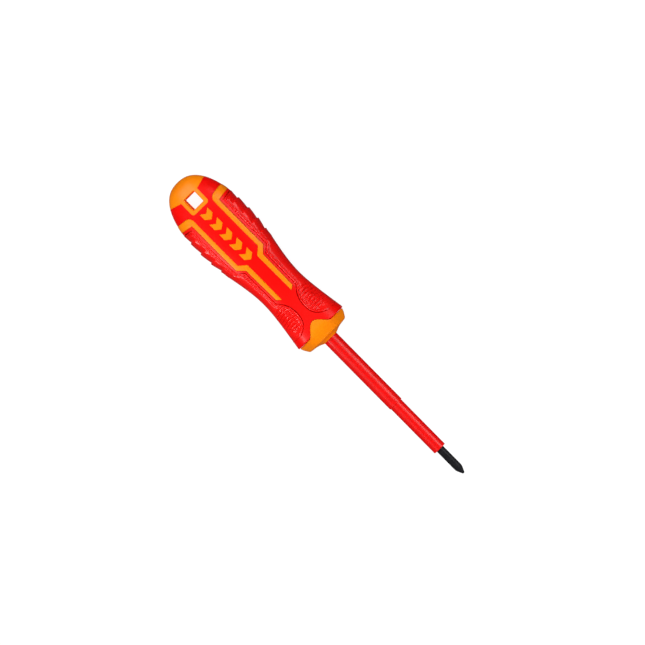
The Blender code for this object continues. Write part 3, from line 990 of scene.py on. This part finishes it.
COLLAR_RINGS = (  # distance along, half-width
    (107.83, 14.95),  # a shallow neck behind the collar, which shows as the dark line at the body's end
    (108.0, 14.95),
    (108.06, 15.28),
    (108.2, 15.38),
    (109.0, 15.12),
    (110.0, 14.68),
    (111.0, 14.08),
    (112.0, 13.47),
    (112.5, 13.1),
    (112.8, 12.75),
    (113.0, 12.2),
    (113.12, 11.5),
    (113.25, 10.4),
    (113.45, 8.9),
    (113.8, 7.4),
    (114.2, 6.3),
    (114.6, 5.4),
    (114.85, 4.95),
    (115.0, 4.6),
)
COLLAR_FACE = COLLAR_RINGS[2:]  # without the neck
COLLAR_SPIGOT = (100.1, 12.0)


def collar_height_ratio():
    half_width, half_height = handle_size(BODY_END - FRONT_EDGE_LENGTH)
    return half_height / half_width


def collar_half_width(along):
    for (x0, w0), (x1, w1) in zip(COLLAR_FACE, COLLAR_FACE[1:]):
        if along <= x1:
            return w0 + (w1 - w0) * max(0.0, along - x0) / (x1 - x0)
    return COLLAR_FACE[-1][1]


def on_collar(along, y):
    """Height of the collar's upper face over a point in plan."""
    half_width = collar_half_width(along)
    half_height = half_width * collar_height_ratio()
    target = y / half_width
    low, high = 0.0, math.pi / 2
    for _ in range(40):
        angle = (low + high) / 2
        across = collar_radius(angle) * math.cos(angle) / collar_radius(0)
        if across > abs(target):
            low = angle
        else:
            high = angle
    return half_height * collar_radius(high) * math.sin(high) / collar_radius(math.pi / 2)


TONGUE_FRONT = 111.2
TONGUE_BLEND = (105.6, 109.6)  # from the handle's face to the collar's
TONGUE_PROUD, TONGUE_THICKNESS = 0.06, 2.6


def make_tongue():
    """A tongue that lies on the handle's face behind and runs into the collar's upper face in front."""
    body_front = BODY_END - FRONT_EDGE_LENGTH
    bell = tongue_edge(40)
    rows = []
    for share in [0, 0.012, 0.03, 0.055, 0.09] + between(0.14, 1.0, 22):
        row = []
        for x_rear, y in bell[::-1]:
            x = x_rear + (TONGUE_FRONT - x_rear) * share
            inside = min(share * (TONGUE_FRONT - x_rear), (TONGUE_HALF - abs(y)) + 0.02)
            on_body = min(x, body_front)
            face = skin(on_body, angle_over(on_body, y)).z
            blend = ease(x, *TONGUE_BLEND)
            z = face * (1 - blend) + (on_collar(max(x, COLLAR_FACE[0][0]), y) + 0.01) * blend
            row.append((x, y, z + TONGUE_PROUD * (1 - blend) - shoulder(inside, 0.3) * (1 - blend)))
        rows.append(row)
    lower = [[(x, y, z - TONGUE_THICKNESS) for x, y, z in row] for row in rows]
    return slab("tongue", rows, lower)


def make_collar(materials):
    ratio = collar_height_ratio()
    rings = [(COLLAR_SPIGOT[0], COLLAR_SPIGOT[1], COLLAR_SPIGOT[1] * ratio)]
    rings.append((COLLAR_RINGS[0][0], COLLAR_SPIGOT[1], COLLAR_SPIGOT[1] * ratio))
    rings += [(along, half_width, half_width * ratio) for along, half_width in COLLAR_RINGS]
    collar = loft("front_collar_moulding", rings, hexagon_section(96))
    tongue = make_tongue()
    under = turn_over_copy(tongue, "tongue_under")
    cut(collar, tongue, "UNION")
    cut(collar, under, "UNION")
    bore = OUTER_SLEEVE_RADIUS + 0.04
    cut(collar, turned("bore", [(COLLAR_SPIGOT[0] - 1, bore), (BODY_END, bore), (NOSE_END + 1, bore)]))
    return finish_piece(collar, materials["orange"], "orange_hard_plastic", "front_collar", angle=38)


# ---------------------------------------------------------------- blade and insulation

def turned(name, profile, sides=ROUND_SIDES, capped=True):
    """A round piece along the tool's axis from (distance along, radius) points."""
    return loft(name, [(along, radius, radius) for along, radius in profile], round_section(sides), capped)


def make_tube(name, start, end, outer, inner, round_end):
    """A tube with a rounded outer edge at its front end."""
    steps = 5
    profile = [(end, inner), (start, inner), (start, outer)]
    for i in range(steps + 1):
        turn = math.pi / 2 * i / steps
        profile.append((end - round_end * (1 - math.sin(turn)), outer - round_end * (1 - math.cos(turn))))
    tube = turned(name, profile, capped=False)
    edit(tube, "EDGE")
    bpy.ops.mesh.select_all(action="DESELECT")
    bpy.ops.mesh.select_non_manifold(
        extend=False, use_wire=False, use_multi_face=False, use_non_contiguous=False
    )
    bpy.ops.mesh.bridge_edge_loops()
    leave_edit()
    return face_outwards(tube)


INNER_START, OUTER_START = 95.0, 100.4  # both inside the handle
SLEEVE_CLEARANCE = 0.03


def make_sleeves(materials):
    on_blade = BLADE_RADIUS + SLEEVE_CLEARANCE
    on_inner = INNER_SLEEVE_RADIUS + SLEEVE_CLEARANCE
    inner = make_tube("inner_sleeve_tube", INNER_START, INSULATION_END, INNER_SLEEVE_RADIUS, on_blade, 0.3)
    outer = make_tube("outer_sleeve_tube", OUTER_START, SLEEVE_STEP, OUTER_SLEEVE_RADIUS, on_inner, 0.25)
    finish_piece(inner, materials["insulation"], "red_insulation", "inner_sleeve")
    finish_piece(outer, materials["insulation"], "red_insulation", "outer_sleeve")


TIP_PROFILE = (  # distance back from the point, radius
    (4.6, 2.25), (4.1, 2.21), (3.6, 2.1), (3.0, 1.9), (2.0, 1.46),
    (1.0, 1.0), (0.5, 0.77), (0.15, 0.56), (0.0, 0.35),
)
FLUTE_LENGTH, FLUTE_ROOT = 9.0, 0.55
FLUTE_BAR, FLUTE_CORNER = 3.4, 0.22
WINGS = ((48.0, 55.0), (66.0, 73.0))  # the tang's, which hold it in the handle: from and to
WING_WIDTH, WING_THICKNESS = 6.6, 1.8
TANG_END, TANG_END_RADIUS = 40.0, 1.65


def flute_cutter(quarter):
    """A square bar on edge, whose edge cuts one flute: deep at the tip and running out behind it."""
    start_clean()
    bpy.ops.mesh.primitive_cube_add(size=1)
    bar = bpy.context.object
    rise = math.atan2(BLADE_RADIUS + 0.15 - FLUTE_ROOT, FLUTE_LENGTH)
    size = Matrix.Diagonal((4 * FLUTE_LENGTH, FLUTE_BAR, FLUTE_BAR, 1))
    edge_down = Matrix.Translation((0, 0, FLUTE_BAR / math.sqrt(2))) @ Matrix.Rotation(math.pi / 4, 4, "X")
    lift = Matrix.Translation((0, 0, FLUTE_ROOT)) @ Matrix.Rotation(rise, 4, "Y")
    turn = Matrix.Rotation(math.pi / 4 + quarter * math.pi / 2, 4, "X")
    place = Matrix.Translation(world(OVERALL, 0, 0)) @ Matrix.Scale(MM, 4)
    bar.data.transform(place @ turn @ lift @ edge_down @ size)
    apply_modifier(bar, "BEVEL", width=FLUTE_CORNER * MM, segments=3, limit_method="ANGLE")
    return bar


def make_blade(materials):
    profile = [(TANG_END, TANG_END_RADIUS), (TANG_END + 0.6, BLADE_RADIUS), (120.0, BLADE_RADIUS)]
    profile += [(OVERALL - back, radius) for back, radius in TIP_PROFILE]
    blade = turned("cross_tip_blade", profile, 64)
    for start, end in WINGS:
        start_clean()
        bpy.ops.mesh.primitive_cube_add(size=1, location=world((start + end) / 2, 0, 0))
        wing = bpy.context.object
        wing.data.transform(Matrix.Diagonal(((end - start) * MM, WING_WIDTH * MM, WING_THICKNESS * MM, 1)))
        apply_modifier(wing, "BEVEL", width=0.4 * MM, segments=2)
        cut(blade, wing, "UNION")
    for quarter in range(4):
        cut(blade, flute_cutter(quarter))
    return finish_piece(blade, materials["steel"], "blackened_steel", "blade", angle=35)


# ---------------------------------------------------------------- studio

def make_floor():
    """A light table: cast opal acrylic lit from below, which glows almost white and takes a faint shadow."""
    start_clean()
    bpy.ops.mesh.primitive_plane_add(size=40, location=(0, 0, CAD_LOW.z))
    floor = named("studio_floor")
    material, _, shader, _ = start_material("opal_acrylic_light_table")
    shader.inputs["Base Color"].default_value = (0.14, 0.14, 0.14, 1)
    shader.inputs["Roughness"].default_value = 0.9
    shader.inputs["Specular IOR Level"].default_value = 0
    shader.inputs["Emission Color"].default_value = (1, 1, 1, 1)
    shader.inputs["Emission Strength"].default_value = 0.92
    floor.data.materials.append(material)
    floor.visible_diffuse = False
    floor.visible_glossy = False


def softbox(name, location, size, power):
    start_clean()
    bpy.ops.object.light_add(type="AREA", location=location)
    light = named(name)
    light.data.shape = "RECTANGLE"
    light.data.size, light.data.size_y = size
    light.data.energy = power
    return light


def area_light(name, size, direction, distance, power, glossy=True, middle=0.0):
    """A softbox that faces the tool's axis at X = middle. Without glossy it isn't seen in reflections.

    Its direction is (degrees from straight up towards the tool's left, then degrees of turn about Z).
    """
    tilt, turn = (math.radians(angle) for angle in direction)
    towards = Matrix.Rotation(turn, 3, "Z") @ Vector((0, math.sin(tilt), math.cos(tilt)))
    light = softbox(name, Vector((middle, 0, AXIS.z)) + towards * distance, size, power)
    light.rotation_euler = towards.to_track_quat("Z", "Y").to_euler()
    light.visible_glossy = glossy


HOLE_GLOW, GLOW_RISE = 0.0008, 0.6  # watts; millimetres above the handle's underside


def make_hole_glow():
    """What the light table sends up through the hanging hole, on to the hole's walls."""
    place = world((HOLE_START + HOLE_END) / 2, 0, GLOW_RISE - BULGE_HEIGHT)
    glow = softbox("hole_glow", place, ((HOLE_END - HOLE_START) * MM, 2 * HOLE_HALF * MM), HOLE_GLOW)
    glow.rotation_euler = (math.pi, 0, 0)
    glow.visible_camera = False
    glow.visible_glossy = False


def make_surroundings():
    """A dim room, a little darker low down and on the tool's left. The camera sees it as white."""
    surroundings = bpy.data.worlds.new("studio")
    bpy.context.scene.world = surroundings
    surroundings.use_nodes = True
    tree = surroundings.node_tree
    background = tree.nodes["Background"]
    background.inputs["Color"].default_value = (1, 1, 1, 1)
    direction = add(tree, "ShaderNodeTexCoord").outputs["Generated"]
    axes = add(tree, "ShaderNodeSeparateXYZ", {"Vector": direction})
    low = add(
        tree, "ShaderNodeMapRange", {"Value": axes.outputs["Y"]},
        From_Min=-0.3, From_Max=0.12, To_Min=0.07, To_Max=0.03,
    )
    high = add(
        tree, "ShaderNodeMapRange", {"Value": axes.outputs["Y"]},
        From_Min=-0.9, From_Max=0.0, To_Min=0.12, To_Max=0.08,
    )
    height = add(tree, "ShaderNodeMapRange", {"Value": axes.outputs["Z"]}, From_Min=-0.15, From_Max=0.15)
    both = add(
        tree, "ShaderNodeMix",
        {"Factor": height.outputs["Result"], "A": low.outputs["Result"], "B": high.outputs["Result"]},
    )
    seen = add(tree, "ShaderNodeLightPath").outputs["Is Camera Ray"]
    strength = add(tree, "ShaderNodeMix", {"Factor": seen, "A": both.outputs["Result"]})
    strength.inputs["B"].default_value = 1.0
    tree.links.new(strength.outputs["Result"], background.inputs["Strength"])


VIEW_WIDTH = 0.340  # what the picture's width takes in, at the tool
CAMERA_DISTANCE = 3.0
TOOL_TURN = 45.4  # degrees that the tool points down to the right
CAMERA_LEAN = 2.6  # degrees towards the tool's left side
PICTURE_CENTRE = (-0.00101, 0.00281)


def make_camera():
    data = bpy.data.cameras.new("camera")
    camera = bpy.data.objects.new("camera", data)
    bpy.context.scene.collection.objects.link(camera)
    data.sensor_width = 36
    data.lens = 36 * CAMERA_DISTANCE / VIEW_WIDTH
    data.clip_start, data.clip_end = 0.1, 20
    lean = math.radians(CAMERA_LEAN)
    back = Vector((0, math.sin(lean), math.cos(lean)))
    turn = Matrix.Rotation(math.radians(TOOL_TURN), 3, "Z")
    # The picture's right and up, for a camera that looks straight down and is turned about its view
    right = turn @ Vector((1, 0, 0))
    right = (right - back * right.dot(back)).normalized()
    up = back.cross(right)
    middle = Vector((0, 0, AXIS.z)) - right * PICTURE_CENTRE[0] + up * PICTURE_CENTRE[1]
    facing = Matrix((right, up, back)).transposed().to_4x4()
    camera.matrix_world = Matrix.Translation(middle + back * CAMERA_DISTANCE) @ facing
    bpy.context.scene.camera = camera


def make_studio():
    make_floor()
    make_camera()
    scene = bpy.context.scene
    scene.view_settings.view_transform = "Standard"
    scene.view_settings.look = "None"
    make_surroundings()
    area_light("rear_softbox", (0.6, 1.2), (54, 90), 1.6, 11.5)
    area_light("nose_fill", (0.1, 0.1), (82, -90), 0.3, 0.42, glossy=False, middle=0.01)
    area_light("right_fill", (1.5, 1.0), (-42, 0), 1.6, 11, glossy=False)
    area_light("left_fill", (1.5, 0.6), (38, 0), 1.6, 6.5, glossy=False)
    area_light("left_softbox", (1.8, 0.65), (52, 0), 1.5, 11)
    area_light("right_strip", (0.09, 0.014), (-56, 0), 0.2, 0.15, middle=-0.045)
    make_hole_glow()


def main():
    materials = make_materials()
    core = frame["nodes"]["handle_core"]
    core.data.materials.clear()
    core.data.materials.append(materials["orange"])
    make_body(materials)
    make_cap(materials)
    make_stripes(materials)
    make_grips(materials)
    make_marks(materials)
    make_collar(materials)
    make_sleeves(materials)
    make_blade(materials)
    make_studio()


main()
